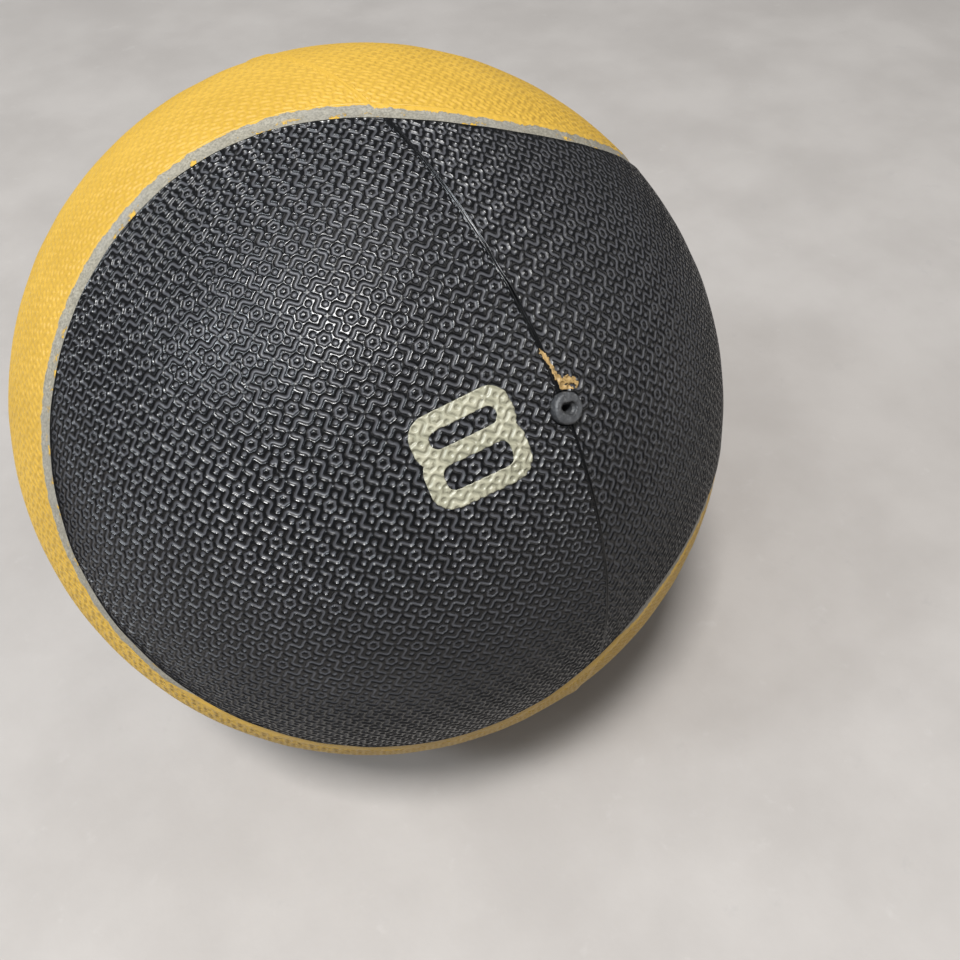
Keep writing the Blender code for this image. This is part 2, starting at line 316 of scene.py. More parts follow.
def black_height(direction):
    return skin_height(direction, BLACK_RELIEF, BLACK_RIM, BLACK_SEED)


def yellow_height(direction):
    return skin_height(direction, YELLOW_RELIEF, YELLOW_RIM, YELLOW_SEED)


# ------------------------------------------------------------------ grids of points and pieces


def grid_quads(rows, columns):
    """Corner numbers of the quads of a grid of points, row by row."""
    index = np.arange(rows * columns).reshape(rows, columns)
    quads = np.stack([index[:-1, :-1], index[1:, :-1], index[1:, 1:], index[:-1, 1:]], -1)
    return quads.reshape(-1, 4)


def graded(length, coarse, fine_start, fine_end, growth=0.05):
    """Positions from 0 to length, close together near the ends and no more than coarse apart."""
    place = np.linspace(0, length, 20001)
    step = np.minimum(fine_start + growth * place, fine_end + growth * (length - place))
    count = np.cumsum(1 / np.minimum(step, coarse)) * place[1]
    count -= count[0]
    return np.interp(np.linspace(0, count[-1], ceil(count[-1]) + 1), count, place)


class Skin:
    """The points, quads, UVs and relief of one piece, gathered from several grids."""

    def __init__(self):
        self.points, self.quads, self.uvs, self.reliefs = [], [], [], []
        self.count = 0

    def add(self, points, relief, uv, keep=None):
        """Adds a grid of points in mm. uv holds a pair for each point, and keep marks the quads to keep."""
        rows, columns = points.shape[:2]
        quads = grid_quads(rows, columns)
        if keep is not None:
            quads = quads[keep.reshape(-1)]
        self.points.append(points.reshape(-1, 3))
        self.reliefs.append(relief.reshape(-1))
        self.uvs.append(uv.reshape(-1, 2))
        self.quads.append(quads + self.count)
        self.count += rows * columns

    def piece(self, name, nodes, slot, material, carry=None, body="ball"):
        """Makes the mesh object, in place of the CAD nodes, on a CAD body."""
        points = np.concatenate(self.points)
        quads = np.concatenate(self.quads)
        used = np.unique(quads)
        renumbered = np.zeros(len(points), np.int64)
        renumbered[used] = np.arange(len(used))
        quads, points = renumbered[quads], points[used]
        if carry is not None:
            points = carry(points)
        mesh = bpy.data.meshes.new(name)
        mesh.vertices.add(len(points))
        placed = points @ BALL_AXES * MM + np.array(CENTRE)
        mesh.vertices.foreach_set("co", placed.astype(np.float32).ravel())
        mesh.loops.add(quads.size)
        mesh.loops.foreach_set("vertex_index", quads.astype(np.int32).ravel())
        mesh.polygons.add(len(quads))
        mesh.polygons.foreach_set("loop_start", np.arange(0, quads.size, 4, dtype=np.int32))
        mesh.polygons.foreach_set("use_smooth", np.ones(len(quads), bool))
        mesh.update(calc_edges=True)
        uvs = np.concatenate(self.uvs)[used][quads.ravel()].astype(np.float32)
        mesh.uv_layers.new(name="OFBake").data.foreach_set("uv", uvs.ravel())
        relief = np.concatenate(self.reliefs)[used].astype(np.float32)
        mesh.attributes.new("relief", "FLOAT", "POINT").data.foreach_set("value", relief)
        mesh.materials.append(material)
        piece = bpy.data.objects.new(name, mesh)
        bpy.context.scene.collection.objects.link(piece)
        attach(piece, body)
        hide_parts(*nodes)
        return piece


def strip_uv(rows, columns, band, bands):
    """UVs of a grid in one of a number of upright bands of the unit square."""
    across = (band + 0.02 + 0.96 * np.clip(columns, 0, 1)) / bands
    along = 0.01 + 0.98 * np.clip(rows, 0, 1)
    return np.stack(np.broadcast_arrays(across[None, :], along[:, None]), -1)


def section_rows(start, end, coarse):
    """Turns of a section's rows, close together at the seam, and the tip where that is its end."""
    fine_start = FINE_STEP if abs(np.sin(start)) < 0.01 else TIP_STEP
    fine_end = FINE_STEP if abs(np.sin(end)) < 0.01 else TIP_STEP
    gap = SEAM_GAP / RADIUS
    start += gap * (fine_start == FINE_STEP)
    end -= gap * (fine_end == FINE_STEP)
    return start + graded((end - start) * RADIUS, coarse, fine_start, fine_end) / RADIUS


def with_skirts(values, low_is_seam, high_is_seam):
    """Values with their ends repeated for the rows that turn down, and the depth of each."""
    low = [np.round(values[0] / pi) * pi] if low_is_seam else [values[0]] * 2
    high = [np.round(values[-1] / pi) * pi] if high_is_seam else [values[-1]] * 2
    low_depth = [SEAM_GROOVE] if low_is_seam else [SKIRT_DEPTH, SKIRT_LIP]
    high_depth = [SEAM_GROOVE] if high_is_seam else [SKIRT_LIP, SKIRT_DEPTH]
    depth = np.concatenate([low_depth, np.zeros(len(values)), high_depth])
    return np.concatenate([low, values, high]), depth


def panel_sections():
    """(start, end, key of the grid step) of the two lobes and the waist between the seam crossings."""
    tip = TIP_HALF_WIDTH / RADIUS
    half = len(OUTLINE_TURN) // 8
    first = np.interp(tip, OUTLINE_WIDTH[:half], OUTLINE_TURN[:half])
    return (first, 0.0, "lobe"), (0.0, pi, "waist"), (pi, pi - first, "rear")


def cover_skin(height_of, steps, hole):
    """The moulded surface of one colour, with its edges turned down and a hole for the plug."""
    skin = Skin()
    sections = panel_sections()
    for band, (start, end, key) in enumerate(sections):
        turns = section_rows(start, end, steps[key])
        widest = RADIUS * half_width(turns).max()
        across = np.linspace(-1, 1, 2 * int(widest / steps[key]) + 1)
        turns, row_depth = with_skirts(turns, key != "lobe", key != "rear")
        shares, column_depth = with_skirts(across, False, False)
        heights = half_width(turns)[:, None] * shares[None, :]
        direction = direction_of(np.broadcast_to(turns[:, None], heights.shape), heights)
        keep = None
        if hole:
            direction, keep = around_hole(direction)
        rise, relief = height_of(direction)
        depth = np.maximum(row_depth[:, None], column_depth[None, :])
        points = direction * (RADIUS + rise - depth)[..., None]
        uv = strip_uv(np.linspace(0, 1, len(turns)), np.linspace(0, 1, len(shares)), band, len(sections))
        skin.add(points, np.where(depth > 0, 0, relief), uv, keep)
    return skin


def corner_mean(values):
    return (values[:-1, :-1] + values[1:, :-1] + values[1:, 1:] + values[:-1, 1:]) / 4


def border_points(keep):
    """The points of a grid that touch both quads that are kept and quads that aren't."""
    touched, dropped = np.zeros((2, keep.shape[0] + 1, keep.shape[1] + 1), bool)
    for rows in (slice(0, -1), slice(1, None)):
        for columns in (slice(0, -1), slice(1, None)):
            touched[rows, columns] |= keep
            dropped[rows, columns] |= ~keep
    return touched & dropped


def around_hole(direction):
    """The grid's directions with those beside the plug's hole moved onto its rim, and the quads to keep."""
    reach = RADIUS * np.hypot(direction[..., 0], direction[..., 1])
    reach = np.where(direction[..., 2] > 0, reach, RADIUS)
    keep = corner_mean(reach) > MOUTH_RADIUS
    border = border_points(keep)
    scale = np.where(border, MOUTH_RADIUS / np.maximum(reach, 0.1), 1)
    x, y = direction[..., 0] * scale, direction[..., 1] * scale
    z = np.where(border, np.sqrt(np.maximum(0, 1 - x**2 - y**2)), direction[..., 2])
    return np.stack([x, y, z], -1), keep


def add_mouth(skin):
    """The wall of the hole that the plug stands in."""
    steps = 96
    depths = (-0.02, 0.12, 0.5, 1.5, 3.9)
    angle = np.linspace(0, tau, steps + 1)
    x, y = (MOUTH_RADIUS / RADIUS * wave(angle) for wave in (np.cos, np.sin))
    rim = np.stack([x, y, np.sqrt(1 - x**2 - y**2)], -1)
    rise = black_height(rim)[0]
    points = np.stack([rim * (RADIUS + rise - depth)[:, None] for depth in depths])
    uv = strip_uv(np.linspace(0, 1, len(depths)), np.linspace(0, 0.001, steps + 1), 2.999, 3)
    skin.add(points, np.zeros(points.shape[:2]), uv)


# ------------------------------------------------------------------ the pieces


def stripe_skin():
    """The smooth band in the channel between the two colours."""
    skin = Skin()
    turn = np.linspace(0, tau, 8001)
    line = line_points(turn)
    steps = np.arccos(np.clip((line[1:] * line[:-1]).sum(-1), -1, 1)) * RADIUS
    length = np.concatenate([[0], np.cumsum(steps)])
    rows = int(length[-1] / STRIPE_STEP / STRIPE_BANDS)
    across = np.linspace(-1, 1, 21)
    for band in range(STRIPE_BANDS):
        places = length[-1] * (band + np.linspace(0, 1, rows + 1)) / STRIPE_BANDS
        here = np.interp(places, length, turn)
        offset = np.broadcast_to(-across * STRIPE_HALF, (rows + 1, len(across)))
        direction = beside_line(np.repeat(here[:, None], len(across), 1), offset)
        surface = direction * RADIUS
        rise = 0.07 * waves(surface, 5, 31) + 0.05 * waves(surface, 1.7, 32)
        lips, _ = seam_lips(direction)
        rise = rise + lips - STRIPE_DROP * smooth(-across, -0.75, 0.2) + 0.1
        share = np.broadcast_to((across + 1) / 2, rise.shape)
        uv = strip_uv(np.linspace(0, 1, rows + 1), np.linspace(0, 1, len(across)), band, STRIPE_BANDS)
        skin.add(direction * (RADIUS + rise)[..., None], share, uv)
    return skin


def rounded_box(u, v, low, high, corner):
    """Signed distance in mm from a rounded rectangle, negative inside."""
    off_u = np.abs(u - (low[0] + high[0]) / 2) - (high[0] - low[0]) / 2 + corner
    off_v = np.abs(v - (low[1] + high[1]) / 2) - (high[1] - low[1]) / 2 + corner
    outside = np.hypot(np.maximum(off_u, 0), np.maximum(off_v, 0))
    return outside + np.minimum(np.maximum(off_u, off_v), 0) - corner


def numeral_distance(u, v):
    """Signed distance from the numeral eight: two rounded loops that share the bar between them."""
    loops = ((NUMERAL_V[0], NUMERAL_BAR[1]), (NUMERAL_BAR[0], NUMERAL_V[1]))
    low_hole = (NUMERAL_V[0] + NUMERAL_STROKE, NUMERAL_BAR[0])
    high_hole = (NUMERAL_BAR[1], NUMERAL_V[1] - NUMERAL_STROKE)
    solid = np.full(np.shape(u), np.inf)
    for low, high in loops:
        loop = rounded_box(u, v, (NUMERAL_U[0], low), (NUMERAL_U[1], high), NUMERAL_CORNER)
        solid = np.minimum(solid, loop)
    for low, high in (low_hole, high_hole):
        hole_low = (NUMERAL_U[0] + NUMERAL_STROKE, low)
        hole_high = (NUMERAL_U[1] - NUMERAL_STROKE, high)
        solid = np.maximum(solid, -rounded_box(u, v, hole_low, hole_high, HOLE_CORNER))
    return solid


# The strokes of the smear: (along the moulding axis, along the seam axis, half width) from the valve.
SMEAR_PATH = ((-0.2, 15.4, 0.35), (0.35, 12.2, 0.7), (0.7, 10.2, 0.45), (1.0, 7.4, 0.75), (1.7, 6.2, 1.1))
SMEAR_ARCH = ((1.4, 6.0, 0.8), (3.6, 6.0, 1.0), (5.2, 5.0, 0.75), (5.4, 3.6, 0.45))
SMEAR_FOOT = ((1.4, 6.0, 0.7), (1.1, 4.9, 0.7), (2.6, 4.4, 0.75), (4.0, 3.6, 0.3))


def smear_distance(u, v):
    """Signed distance from the ragged smear of yellow that bled along the seam to the valve."""
    x = -u
    found = np.full(np.shape(u), np.inf)
    for path in (SMEAR_PATH, SMEAR_ARCH, SMEAR_FOOT):
        for (x0, y0, r0), (x1, y1, r1) in zip(path, path[1:]):
            share = ((x - x0) * (x1 - x0) + (v - y0) * (y1 - y0)) / ((x1 - x0) ** 2 + (y1 - y0) ** 2)
            share = np.clip(share, 0, 1)
            reach = np.hypot(x - x0 - share * (x1 - x0), v - y0 - share * (y1 - y0))
            found = np.minimum(found, reach - r0 - share * (r1 - r0))
    flat = np.stack([x, v, 0 * x], -1)
    ragged = found + 0.16 * waves(flat, 1.5, 41) + 0.1 * waves(flat, 0.7, 42)
    return np.maximum(ragged, MOUTH_RADIUS + 0.1 - np.hypot(x, v))


def film(distance_of, u_range, v_range, step):
    """A thin coat on the black cover's relief, with the outline where distance_of is 0."""
    u = np.linspace(*u_range, int((u_range[1] - u_range[0]) / step) + 1)
    v = np.linspace(*v_range, int((v_range[1] - v_range[0]) / step) + 1)
    u, v = np.meshgrid(u, v, indexing="ij")
    keep = corner_mean(distance_of(u, v)) < 0
    border = border_points(keep)
    for _ in range(3):
        level = distance_of(u, v)
        nudge = 0.02
        slope_u = (distance_of(u + nudge, v) - distance_of(u - nudge, v)) / (2 * nudge)
        slope_v = (distance_of(u, v + nudge) - distance_of(u, v - nudge)) / (2 * nudge)
        size = np.maximum(slope_u**2 + slope_v**2, 0.25)
        move = np.where(border, np.clip(level, -step, step), 0)
        u, v = u - move * slope_u / size, v - move * slope_v / size
    lean = u / RADIUS
    tilt = v / RADIUS
    direction = np.stack([-np.sin(lean), np.cos(lean) * np.sin(tilt), np.cos(lean) * np.cos(tilt)], -1)
    rise, relief = black_height(direction)
    rise += FILM_FILL * BLACK_RELIEF * (1 - relief)
    skin = Skin()
    uv = np.stack(np.meshgrid(*(np.linspace(0.01, 0.99, n) for n in u.shape), indexing="ij"), -1)
    # The grid runs away from the parting line, so its rows are reversed to face out.
    skin.add((direction * (RADIUS + rise + FILM_LIFT)[..., None])[::-1], relief[::-1], uv[::-1], keep[::-1])
    return skin


def rounded_path(corners, arc_steps=6, longest=0.45):
    """Points of a (reach, height) outline whose corners, with a radius each, are rounded off."""
    places = [np.array(corner[:2]) for corner in corners]
    path = [places[0]]
    for before, here, after, corner in zip(places, places[1:], places[2:], corners[1:]):
        start = here + (before - here) / np.linalg.norm(before - here) * corner[2]
        end = here + (after - here) / np.linalg.norm(after - here) * corner[2]
        for share in np.linspace(0, 1, arc_steps):
            path.append((1 - share) ** 2 * start + 2 * share * (1 - share) * here + share**2 * end)
    path.append(places[-1])
    fine = [path[0]]
    for start, end in zip(path, path[1:]):
        count = max(1, ceil(np.linalg.norm(end - start) / longest))
        fine += [start + (end - start) * share for share in np.linspace(0, 1, count + 1)[1:]]
    return np.array(fine)


def plug_skin():
    """The rubber plug: a short cylinder with a worn rim and a torn mouth where the needle goes in."""
    corners = (
        (0.02, PLUG_TOP - NEEDLE_DEPTH, 0),
        (NEEDLE_RADIUS, PLUG_TOP - NEEDLE_DEPTH, 0.2),
        (NEEDLE_RADIUS, PLUG_TOP - RECESS_DEPTH, 0.25),
        (RECESS_RADIUS - 0.25, PLUG_TOP - RECESS_DEPTH * 0.7, 0.25),
        (RECESS_RADIUS, PLUG_TOP, 0.28),
        (PLUG_RADIUS - PLUG_EDGE, PLUG_TOP, 0.3),
        (PLUG_RADIUS, PLUG_TOP - PLUG_EDGE, 0.25),
        (PLUG_RADIUS, PLUG_FOOT, 0.4),
        (0.02, PLUG_FOOT, 0),
    )
    profile = rounded_path(corners)
    steps = 144
    angle = np.linspace(0, tau, steps + 1)
    reach, height = profile[:, 0, None], profile[:, 1, None]
    flat = np.stack([reach * np.cos(angle), reach * np.sin(angle), height + 0 * angle], -1)
    near_mouth = smooth(RECESS_RADIUS + 1.0 - reach, 0, 1.0) * smooth(height, PLUG_TOP - 4, PLUG_TOP - 1)
    torn = 1 + 0.18 * near_mouth * (np.cos(2 * angle + 0.9) + 0.5 * np.sin(3 * angle))
    scratches = 0.035 * waves(flat * np.array((1, 1, 0.4)), 1.3, 51) + 0.02 * waves(flat, 0.6, 52)
    proud = smooth(height, PLUG_TOP - 2.4, PLUG_TOP - 0.6)
    points = flat * np.stack([torn, torn, 1 + 0 * torn], -1)
    points[..., 2] += scratches * proud
    points[..., :2] *= 1 - 0.004 * (1 + waves(flat, 3, 53)[..., None]) * proud[..., None]
    uv = strip_uv(np.linspace(0, 1, len(profile)), np.linspace(0, 1, steps + 1), 0, 1)
    skin = Skin()
    # The stored relief is the nearness to the mouth, which the plug's material paints as shade.
    skin.add(points, near_mouth * np.ones(steps + 1), uv)
    return skin


# ------------------------------------------------------------------ materials


class Surface:
    """A Principled material, with short calls that add its procedural nodes. Sizes are in mm."""

    def __init__(self, name, specular=0.5):
        self.material = bpy.data.materials.new(name)
        self.material.use_nodes = True
        self.nodes = self.material.node_tree.nodes
        self.links = self.material.node_tree.links
        self.shader = self.nodes["Principled BSDF"]
        self.shader.inputs["Specular IOR Level"].default_value = specular
        self.place = self.nodes.new("ShaderNodeTexCoord").outputs["Object"]
        self.normal = None

    def fill(self, target, value):
        if isinstance(value, bpy.types.NodeSocket):
            self.links.new(value, target)
        elif isinstance(value, tuple):
            target.default_value = (*value, 1)
        else:
            target.default_value = value

    def noise(self, size, detail=3.0, roughness=0.55, stretch=(1, 1, 1), shift=0.0):
        """Noise from 0 to 1 with features of this size."""
        node = self.nodes.new("ShaderNodeTexNoise")
        node.inputs["Scale"].default_value = 1 / (size * MM)
        node.inputs["Detail"].default_value = detail
        node.inputs["Roughness"].default_value = roughness
        mapping = self.nodes.new("ShaderNodeMapping")
        mapping.inputs["Scale"].default_value = stretch
        mapping.inputs["Location"].default_value = (shift, shift, shift)
        self.links.new(self.place, mapping.inputs["Vector"])
        self.links.new(mapping.outputs["Vector"], node.inputs["Vector"])
        return node.outputs["Fac"]

    def specks(self, size):
        """Distance from the middles of cells of this size."""
        node = self.nodes.new("ShaderNodeTexVoronoi")
        node.inputs["Scale"].default_value = 1 / (size * MM)
        self.links.new(self.place, node.inputs["Vector"])
        return node.outputs["Distance"]

    def weave_lines(self, size, turn):
        """Bands of this width, turned about the moulding axis."""
        node = self.nodes.new("ShaderNodeTexWave")
        node.inputs["Scale"].default_value = WAVE_PERIOD / (size * MM)
        node.inputs["Distortion"].default_value = 1.5
        mapping = self.nodes.new("ShaderNodeMapping")
        mapping.inputs["Rotation"].default_value = turn
        self.links.new(self.place, mapping.inputs["Vector"])
        self.links.new(mapping.outputs["Vector"], node.inputs["Vector"])
        return node.outputs["Fac"]

    def stored(self, name):
        node = self.nodes.new("ShaderNodeAttribute")
        node.attribute_name = name
        return node.outputs["Fac"]

    def coordinate(self, axis):
        node = self.nodes.new("ShaderNodeSeparateXYZ")
        self.links.new(self.place, node.inputs["Vector"])
        return node.outputs[axis]

    def between(self, value, low, high, start=0.0, end=1.0):
        """A smooth change from start to end as a value goes from low to high."""
        node = self.nodes.new("ShaderNodeMapRange")
        node.interpolation_type = "SMOOTHSTEP"
        for socket, setting in zip(node.inputs, (value, low, high, start, end)):
            self.fill(socket, setting)
        return node.outputs["Result"]

    def math(self, operation, first, second=0.0):
        node = self.nodes.new("ShaderNodeMath")
        node.operation = operation
        self.fill(node.inputs[0], first)
        self.fill(node.inputs[1], second)
        return node.outputs["Value"]

    def mix(self, share, first, second):
        """A colour that goes from the first to the second as the share goes from 0 to 1."""
        node = self.nodes.new("ShaderNodeMix")
        node.data_type = "RGBA"
        self.fill(node.inputs["Factor"], share)
        colours = [socket for socket in node.inputs if socket.type == "RGBA"]
        self.fill(colours[0], first)
        self.fill(colours[1], second)
        return next(socket for socket in node.outputs if socket.type == "RGBA")

    def bump(self, height, depth):
        """Adds a bump of this depth in mm."""
        node = self.nodes.new("ShaderNodeBump")
        node.inputs["Distance"].default_value = depth * MM
        self.links.new(height, node.inputs["Height"])
        if self.normal:
            self.links.new(self.normal, node.inputs["Normal"])
        self.normal = node.outputs["Normal"]

    def finish(self, colour, roughness):
        self.fill(self.shader.inputs["Base Color"], colour)
        self.fill(self.shader.inputs["Roughness"], roughness)
        if self.normal:
            self.links.new(self.normal, self.shader.inputs["Normal"])
        return self.material


def black_rubber():
    """Black rubber, polished on the lands and dull with dust in the grooves."""
    paint = Surface("black_rubber", specular=0.34)
    relief = paint.stored("relief")
    cloud = paint.noise(38, 4)
    grain = paint.noise(0.7, 2)
    tone = paint.mix(paint.between(cloud, 0.3, 0.7), (0.001, 0.0011, 0.0014), (0.0022, 0.0023, 0.0027))
    dusty = paint.mix(paint.noise(24, 5, 0.6, shift=3.0), (0.022, 0.022, 0.025), (0.058, 0.059, 0.065))
    tone = paint.mix(paint.between(relief, 0.65, 0.1), tone, dusty)
    scuff = paint.between(paint.noise(5.5, 5, 0.72, (1, 0.35, 1), 1.7), 0.66, 0.78, 0.0, 0.3)
    tone = paint.mix(scuff, tone, (0.07, 0.068, 0.065))
    shine = paint.between(relief, 0.3, 0.95, 0.42, 0.235)
    shine = paint.math("ADD", shine, paint.between(cloud, 0.3, 0.7, 0.05, -0.03))
    paint.bump(grain, 0.03)
    paint.bump(paint.noise(0.25, 1), 0.01)
    return paint.finish(tone, shine)


def yellow_rubber():
    """Yellow rubber, worn dull, with painted shade in the grooves, and darker towards the floor with grime
    and painted shade.
    """
    paint = Surface("yellow_rubber")
    relief = paint.stored("relief")
    cloud = paint.noise(30, 4)
    tone = paint.mix(paint.between(cloud, 0.3, 0.72), (0.345, 0.208, 0.022), (0.385, 0.236, 0.029))
    # Painted shade: darker in the grooves, where the relief is low.
    tone = paint.mix(paint.between(relief, 0.0, 0.8, 0.3, 0.0), tone, (0.245, 0.138, 0.0135))
    # Darker towards the floor: partly grime, partly painted shade.
    low = paint.between(paint.coordinate("Z"), -0.02, -0.085)
    grime_and_shade = paint.math("MULTIPLY", paint.between(paint.noise(9, 6, 0.65), 0.25, 0.6), low)
    tone = paint.mix(paint.math("MULTIPLY", grime_and_shade, 0.4), tone, (0.24, 0.19, 0.11))
    rub = paint.between(paint.noise(3.2, 5, 0.7, (1, 1, 0.4), 2.0), 0.63, 0.74, 0.0, 0.25)
    tone = paint.mix(rub, tone, (0.36, 0.25, 0.09))
    shine = paint.between(relief, 0.1, 0.9, 0.62, 0.46)
    paint.bump(paint.noise(0.5, 2), 0.03)
    return paint.finish(tone, shine)


def grey_stripe():
    """Grey rubber, with yellow that ran over its edge and black along its other edge. The stored relief is
    the share across the stripe here, from 0 on the black side to 1 on the yellow side. Low down, yellow
    covers the yellow side of the stripe, and all of it where it faces the photograph's camera."""
    paint = Surface("grey_stripe")
    share = paint.stored("relief")
    grain = paint.noise(0.55, 3)
    tone = paint.mix(paint.between(grain, 0.3, 0.7), (0.118, 0.109, 0.084), (0.222, 0.205, 0.162))
    tone = paint.mix(paint.between(paint.noise(20, 4), 0.35, 0.65, 0.0, 0.35), tone, (0.16, 0.155, 0.143))
    ragged = paint.math("MULTIPLY", paint.math("SUBTRACT", paint.noise(2.6, 5, 0.65), 0.5), 0.5)
    place = paint.math("ADD", share, ragged)
    right = paint.between(paint.coordinate("X"), -0.0002, 0.0002, 0.0, -0.17)
    along_x = paint.math("MULTIPLY", paint.coordinate("X"), CAMERA_WAY[0])
    along_y = paint.math("MULTIPLY", paint.coordinate("Y"), CAMERA_WAY[1])
    facing = paint.between(paint.math("ADD", along_x, along_y), -0.01, 0.015, -0.5, -0.95)
    low = paint.math("MULTIPLY", paint.between(paint.coordinate("Z"), *TAKEOVER_HEIGHTS), facing)
    shore = paint.math("ADD", paint.math("ADD", right, low), 0.88)
    bled = paint.between(paint.math("SUBTRACT", place, shore), -0.02, 0.02)
    chips = paint.between(paint.noise(4.5, 6, 0.7, shift=5.0), 0.575, 0.595)
    bled = paint.math("MAXIMUM", bled, paint.math("MULTIPLY", chips, paint.between(share, 0.6, 0.35)))
    # Lower down the bled yellow is darker: partly dirt, partly painted shade.
    dirt_and_shade = paint.between(paint.coordinate("Z"), -0.01, -0.06, 0.0, 0.6)
    yellow = paint.mix(dirt_and_shade, (0.385, 0.234, 0.028), (0.22, 0.165, 0.09))
    tone = paint.mix(bled, tone, yellow)
    line = paint.math("MULTIPLY", paint.between(share, 0.10, 0.12), paint.between(share, 0.16, 0.14))
    left = paint.between(paint.coordinate("X"), -0.0002, 0.0002, 0.75, 0.0)
    tone = paint.mix(paint.math("MULTIPLY", line, left), tone, (0.07, 0.07, 0.06))
    black = paint.between(paint.math("ADD", share, paint.math("MULTIPLY", ragged, 0.25)), 0.07, 0.05)
    cracks = paint.between(paint.noise(2.4, 6, 0.75, shift=8.0), 0.36, 0.34)
    black = paint.math("MAXIMUM", black, paint.math("MULTIPLY", cracks, paint.between(share, 0.5, 0.2)))
    tone = paint.mix(black, tone, (0.012, 0.012, 0.012))
    paint.bump(grain, 0.05)
    paint.bump(bled, 0.12)
    paint.bump(line, 0.12)
    return paint.finish(tone, paint.between(grain, 0.3, 0.7, 0.42, 0.6))


def numeral_ink():
    """Cream ink, stained, with painted shade in the grooves."""
    paint = Surface("numeral_ink")
    relief = paint.stored("relief")
    stain = paint.noise(6, 5, 0.6)
    tone = paint.mix(paint.between(stain, 0.3, 0.7), (0.21, 0.203, 0.146), (0.27, 0.257, 0.188))
    # Painted shade: darker in the grooves, where the relief is low.
    tone = paint.mix(paint.between(relief, 0.1, 0.75, 0.5, 0.0), tone, (0.13, 0.125, 0.088))
    worn = paint.between(paint.noise(1.1, 4, 0.65, shift=2.5), 0.665, 0.7, 0.0, 0.7)
    tone = paint.mix(worn, tone, (0.05, 0.05, 0.045))
    paint.bump(paint.noise(0.6, 3), 0.03)
    return paint.finish(tone, paint.between(stain, 0.3, 0.7, 0.38, 0.55))


def smear_rubber():
    """Yellow rubber that bled over the black, darkened in spots."""
    paint = Surface("smear_rubber")
    stain = paint.noise(1.6, 4, 0.6)
    tone = paint.mix(paint.between(stain, 0.3, 0.65), (0.18, 0.113, 0.036), (0.33, 0.215, 0.082))
    tone = paint.mix(paint.between(paint.noise(0.8, 3), 0.58, 0.65, 0.0, 0.85), tone, (0.06, 0.045, 0.02))
    paint.bump(paint.noise(0.7, 3), 0.1)
    return paint.finish(tone, paint.between(stain, 0.3, 0.7, 0.45, 0.7))


def plug_rubber():
    """Dusty, scratched rubber, with painted shade round the torn mouth."""
    paint = Surface("plug_rubber")
    cloud = paint.noise(3.0, 5, 0.62)
    tone = paint.mix(paint.between(cloud, 0.3, 0.7), (0.02, 0.021, 0.023), (0.042, 0.0435, 0.0465))
    dust = paint.between(paint.noise(0.8, 4, 0.7, shift=4.0), 0.52, 0.68, 0.0, 0.4)
    tone = paint.mix(dust, tone, (0.12, 0.12, 0.116))
    # Painted shade round the torn mouth and in its recess, by the stored nearness to the mouth.
    tone = paint.mix(paint.between(paint.stored("relief"), 0.55, 1.0, 0.0, 0.6), tone, (0.012, 0.012, 0.012))
    scratch = paint.noise(1.4, 4, 0.7, (1, 0.25, 1), 6.0)
    paint.bump(scratch, 0.08)
    paint.bump(paint.noise(0.3, 2), 0.03)
    return paint.finish(tone, paint.between(dust, 0.0, 0.4, 0.55, 0.8))


def inner_rubber(name, dark, light, size):
    """Rubber of the hidden layers: clouded, powdered with talc and finely pitted."""
    paint = Surface(name)
    tone = paint.mix(paint.between(paint.noise(size, 5), 0.3, 0.7), dark, light)
    talc = paint.between(paint.noise(size / 5, 5, 0.7, shift=1.0), 0.55, 0.75, 0.0, 0.35)
    tone = paint.mix(talc, tone, (0.4, 0.38, 0.35))
    paint.bump(paint.specks(1.1), 0.05)
    paint.bump(paint.noise(3, 4), 0.15)
    return paint.finish(tone, paint.between(talc, 0.0, 0.35, 0.5, 0.8))


def winding_cord():
    """Nylon thread wound on the wall in crossing layers."""
    paint = Surface("winding_cord")
    first = paint.weave_lines(1.1, (0.3, 0.2, 0.5))
    second = paint.weave_lines(1.1, (1.2, 0.9, 2.1))
    layer = paint.between(paint.noise(14, 3), 0.47, 0.53)
    rest = paint.math("MULTIPLY", second, paint.math("SUBTRACT", 1.0, layer))
    thread = paint.math("ADD", paint.math("MULTIPLY", first, layer), rest)
    tone = paint.mix(thread, (0.2, 0.18, 0.14), (0.62, 0.58, 0.5))
    tone = paint.mix(paint.between(paint.noise(18, 4), 0.4, 0.7, 0.0, 0.4), tone, (0.09, 0.08, 0.07))
    paint.bump(thread, 0.5)
    return paint.finish(tone, paint.between(thread, 0.0, 1.0, 0.75, 0.5))


def floor_finish():
    """A pale, softly mottled floor."""
    paint = Surface("floor_finish", specular=0.3)
    cloud = paint.noise(90, 6, 0.6)
    tone = paint.mix(paint.between(cloud, 0.3, 0.7), (0.252, 0.235, 0.22), (0.286, 0.268, 0.252))
    fleck = paint.between(paint.noise(11, 5, 0.65, shift=2.0), 0.6, 0.8, 0.0, 0.25)
    tone = paint.mix(fleck, tone, (0.355, 0.336, 0.318))
    dark = paint.between(paint.noise(17, 5, 0.65, shift=7.0), 0.62, 0.75, 0.0, 0.22)
    tone = paint.mix(dark, tone, (0.206, 0.197, 0.194))
    paint.bump(paint.noise(2.5, 4), 0.05)
    return paint.finish(tone, paint.between(cloud, 0.3, 0.7, 0.5, 0.6))


# ------------------------------------------------------------------ the stage


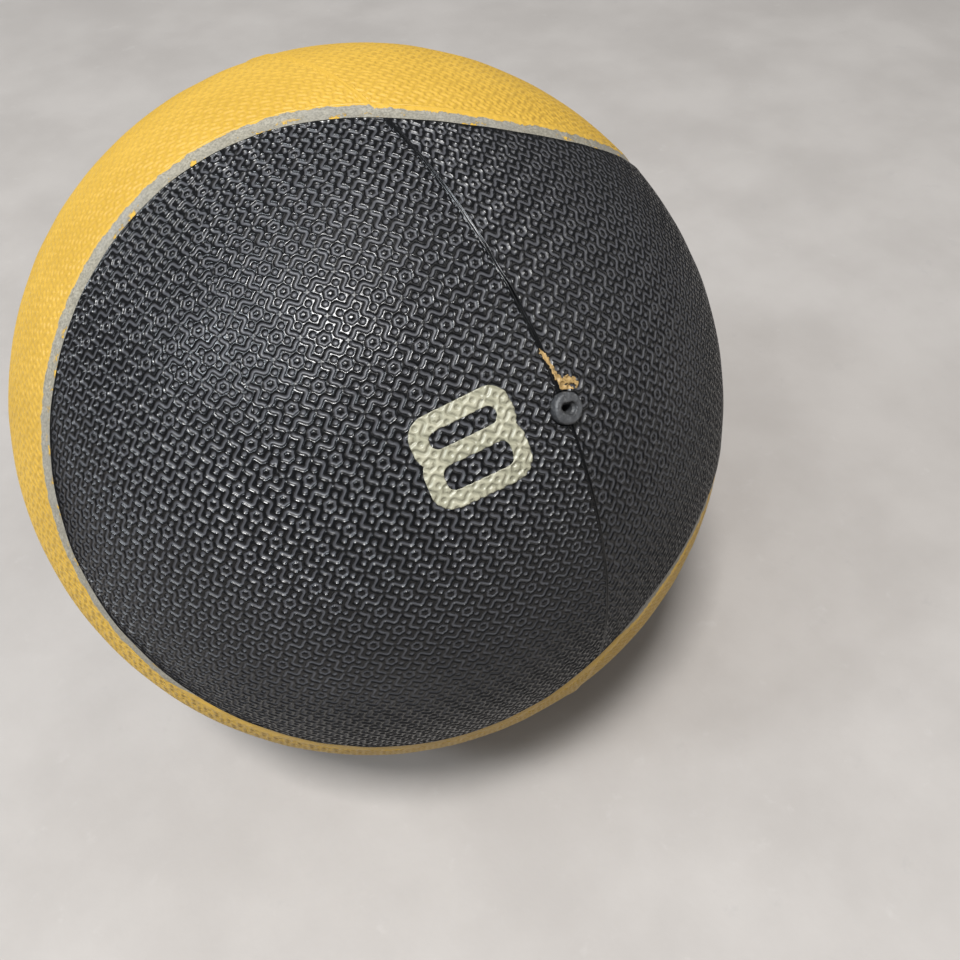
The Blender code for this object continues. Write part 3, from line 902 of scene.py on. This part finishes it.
def build_pieces():
    """Makes the detailed pieces that replace the visible CAD nodes, and the smear."""
    black = black_rubber()
    cover = cover_skin(black_height, BLACK_STEPS, hole=True)
    add_mouth(cover)
    cover.piece("cover_black_moulded", ["cover_black"], "cover_black", black)
    yellow = cover_skin(yellow_height, YELLOW_STEPS, hole=False)
    yellow.piece("cover_yellow_moulded", ["cover_yellow"], "cover_yellow", yellow_rubber(), to_yellow)
    stripe_skin().piece("stripe_band", ["channel_stripe"], "stripe_grey", grey_stripe())
    ink = film(numeral_distance, *NUMERAL_GRID)
    numeral = ink.piece("numeral_ink", ["numeral_eight"], "numeral_print", numeral_ink())
    smear = film(smear_distance, *SMEAR_GRID)
    blot = smear.piece("seam_smear", [], "cover_yellow", smear_rubber())
    for coat in (numeral, blot):
        body = coat.modifiers.new("thickness", "SOLIDIFY")
        body.thickness = FILM_THICKNESS * MM
    plug_skin().piece("valve_plug", ["valve_core"], "plug_rubber", plug_rubber(), body="valve_core")


def finish_hidden_nodes():
    """Gives the CAD nodes that stay, all of them under the covers, materials of their own."""
    materials = {
        "bladder": inner_rubber("bladder_butyl", (0.02, 0.02, 0.021), (0.05, 0.048, 0.045), 25),
        "valve_housing": inner_rubber("housing_rubber", (0.03, 0.03, 0.03), (0.07, 0.068, 0.064), 6),
        "wall_half_left": inner_rubber("wall_rubber_left", (0.045, 0.04, 0.036), (0.09, 0.08, 0.07), 30),
        "wall_half_right": inner_rubber("wall_rubber_right", (0.045, 0.04, 0.036), (0.09, 0.08, 0.07), 30),
        "winding_layer": winding_cord(),
    }
    for name, material in materials.items():
        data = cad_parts[name].data
        data.materials.clear()
        data.materials.append(material)


def build_floor():
    bpy.ops.mesh.primitive_plane_add(size=FLOOR_SIZE, location=(0, 0, cad_low.z - FLOOR_GAP))
    floor = bpy.context.object
    floor.name = "floor"
    floor.data.materials.append(floor_finish())


def add_light(name, place, size, power, colour):
    """A square soft light that faces the ball."""
    data = bpy.data.lights.new(name, "AREA")
    data.size = size
    data.energy = power
    data.color = colour
    light = bpy.data.objects.new(name, data)
    light.location = place
    light.rotation_mode = "QUATERNION"
    light.rotation_quaternion = (CENTRE - Vector(place)).to_track_quat("-Z", "Y")
    bpy.context.scene.collection.objects.link(light)


def build_light():
    world = bpy.data.worlds.new("studio")
    world.use_nodes = True
    background = world.node_tree.nodes["Background"]
    background.inputs["Color"].default_value = WORLD_COLOUR
    background.inputs["Strength"].default_value = WORLD_STRENGTH
    bpy.context.scene.world = world
    for light in LIGHTS:
        add_light(*light)


def build_camera():
    data = bpy.data.cameras.new("camera")
    data.lens = 36
    data.sensor_width = 36
    camera = bpy.data.objects.new("camera", data)
    place = Vector(CAMERA_PLACE)
    camera.location = place
    camera.rotation_mode = "QUATERNION"
    camera.rotation_quaternion = (Vector(CAMERA_TARGET) - place).to_track_quat("-Z", "Y")
    data.clip_start = 0.01
    bpy.context.scene.collection.objects.link(camera)
    bpy.context.scene.camera = camera


build_pieces()
finish_hidden_nodes()
build_floor()
build_light()
build_camera()
bpy.context.scene.view_settings.view_transform = "Standard"
